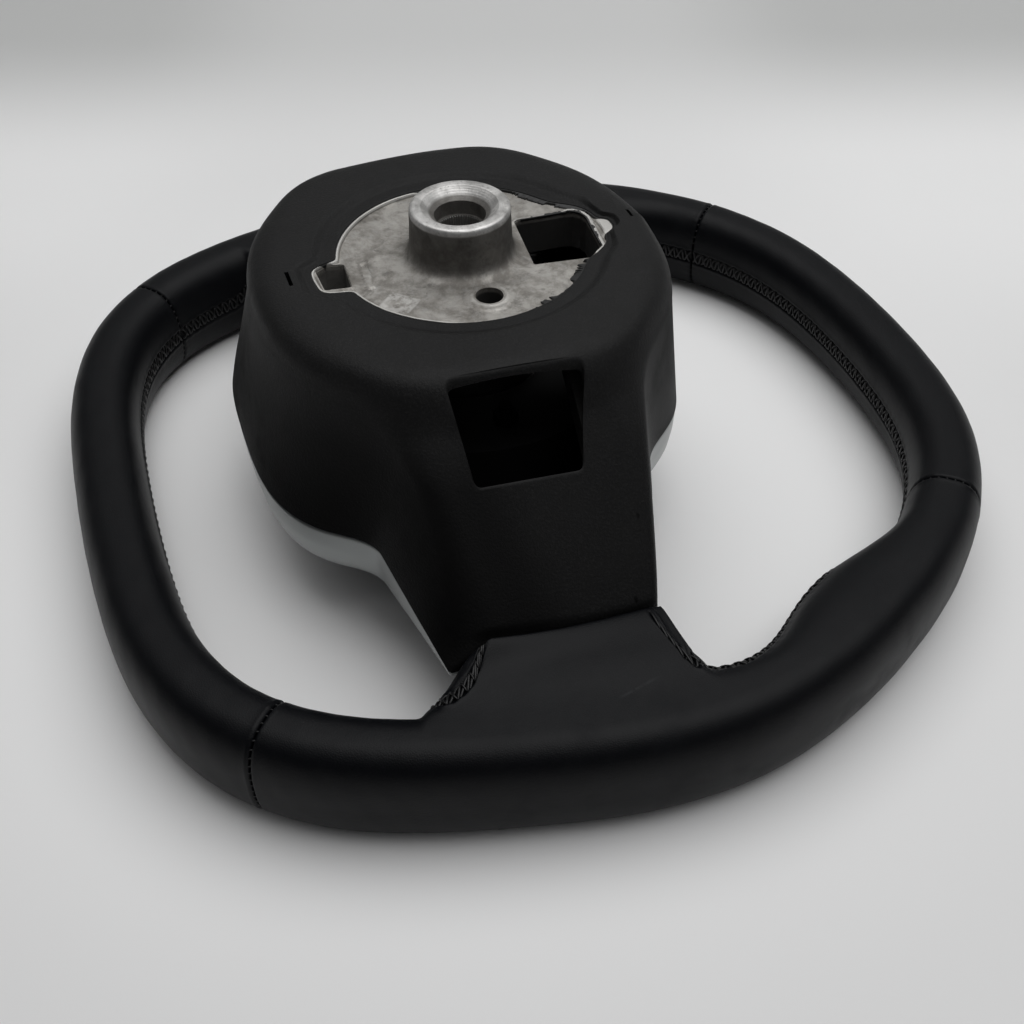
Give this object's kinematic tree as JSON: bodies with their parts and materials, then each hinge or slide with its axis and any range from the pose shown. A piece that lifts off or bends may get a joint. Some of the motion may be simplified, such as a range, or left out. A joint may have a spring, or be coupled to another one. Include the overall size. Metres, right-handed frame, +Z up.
{
  "type": "car steering wheel",
  "caption": "Flat-sided two-spoke leather steering wheel seen from the column side: rim, hub cover, cast core, floating horn pad and thumb switches.",
  "frame": {"origin": "on the column axis, at the mouth of the smooth column bore", "axes": "+Z up the column axis, away from the driver; +Y to the top of the wheel; +X to the driver's left spoke"},
  "size_m": [0.3646, 0.3566, 0.1317],
  "materials": {
    "cast_alloy": "die-cast, mottled grey with a brighter machined boss rim",
    "foam": "matte moulded foam",
    "leather": "smooth fine-grain leather, satin",
    "cover_plastic": "fine eroded grain, matte",
    "trim_silver": "satin silver paint on plastic",
    "zinc_steel": "bright zinc plated",
    "natural_plastic": "natural acetal",
    "spring_steel": "drawn wire",
    "pad_plastic": "soft-touch grained",
    "housing_steel": "black coated sheet steel",
    "inflator_steel": "turned steel",
    "cushion_fabric": "folded woven nylon",
    "panel_gloss": "gloss black",
    "case_plastic": "moulded, matte",
    "board": "solder mask",
    "button_plastic": "fine grain, satin",
    "roller_satin": "satin silver, ribbed"
  },
  "bodies": {
    "wheel": {"armature": "cast_alloy", "rim_foam": "foam", "leather_top": "leather", "leather_bottom": "leather", "leather_left": "leather", "leather_right": "leather", "rear_cover": "cover_plastic", "front_trim": "trim_silver", "cover_screws": "zinc_steel", "guide_bushes": "natural_plastic", "horn_springs": "spring_steel", "switch_panel_left": "panel_gloss", "switch_case_left": "case_plastic", "switch_board_left": "board", "roller_axle_left": "zinc_steel", "switch_panel_right": "panel_gloss", "switch_case_right": "case_plastic", "switch_board_right": "board", "roller_axle_right": "zinc_steel", "switch_screws": "zinc_steel"},
    "horn_module": {"horn_pad": "pad_plastic", "airbag_housing": "housing_steel", "guide_pins": "zinc_steel", "inflator": "inflator_steel", "airbag_cushion": "cushion_fabric", "cushion_nuts": "zinc_steel"},
    "button_left_upper": {"button_left_upper": "button_plastic"},
    "button_left_lower": {"button_left_lower": "button_plastic"},
    "button_left_side": {"button_left_side": "button_plastic"},
    "roller_left": {"roller_left": "roller_satin"},
    "button_right_upper": {"button_right_upper": "button_plastic"},
    "button_right_lower": {"button_right_lower": "button_plastic"},
    "button_right_side": {"button_right_side": "button_plastic"},
    "roller_right": {"roller_right": "roller_satin"}
  },
  "joints": [
    {"name": "horn_push", "type": "slide", "parent": "wheel", "child": "horn_module", "axis": [0, 0, 1], "range_m": [0, 0.0015], "stiffness_N_per_m": 9000, "springref_m": -0.003, "deforming": ["horn_springs"]},
    {"name": "button_left_upper_press", "type": "slide", "parent": "wheel", "child": "button_left_upper", "axis": [0, 0, 1], "range_m": [0, 0.0007], "stiffness_N_per_m": 1500, "springref_m": -0.001},
    {"name": "button_left_lower_press", "type": "slide", "parent": "wheel", "child": "button_left_lower", "axis": [0, 0, 1], "range_m": [0, 0.0007], "stiffness_N_per_m": 1500, "springref_m": -0.001},
    {"name": "button_left_side_press", "type": "slide", "parent": "wheel", "child": "button_left_side", "axis": [0, 0, 1], "range_m": [0, 0.0007], "stiffness_N_per_m": 1500, "springref_m": -0.001},
    {"name": "roller_left_spin", "type": "hinge", "parent": "wheel", "child": "roller_left", "pos_m": [0.089, -0.003, -0.0915], "axis": [1, 0, 0], "continuous": true},
    {"name": "button_right_upper_press", "type": "slide", "parent": "wheel", "child": "button_right_upper", "axis": [0, 0, 1], "range_m": [0, 0.0007], "stiffness_N_per_m": 1500, "springref_m": -0.001},
    {"name": "button_right_lower_press", "type": "slide", "parent": "wheel", "child": "button_right_lower", "axis": [0, 0, 1], "range_m": [0, 0.0007], "stiffness_N_per_m": 1500, "springref_m": -0.001},
    {"name": "button_right_side_press", "type": "slide", "parent": "wheel", "child": "button_right_side", "axis": [0, 0, 1], "range_m": [0, 0.0007], "stiffness_N_per_m": 1500, "springref_m": -0.001},
    {"name": "roller_right_spin", "type": "hinge", "parent": "wheel", "child": "roller_right", "pos_m": [-0.089, -0.003, -0.0915], "axis": [1, 0, 0], "continuous": true}
  ]
}
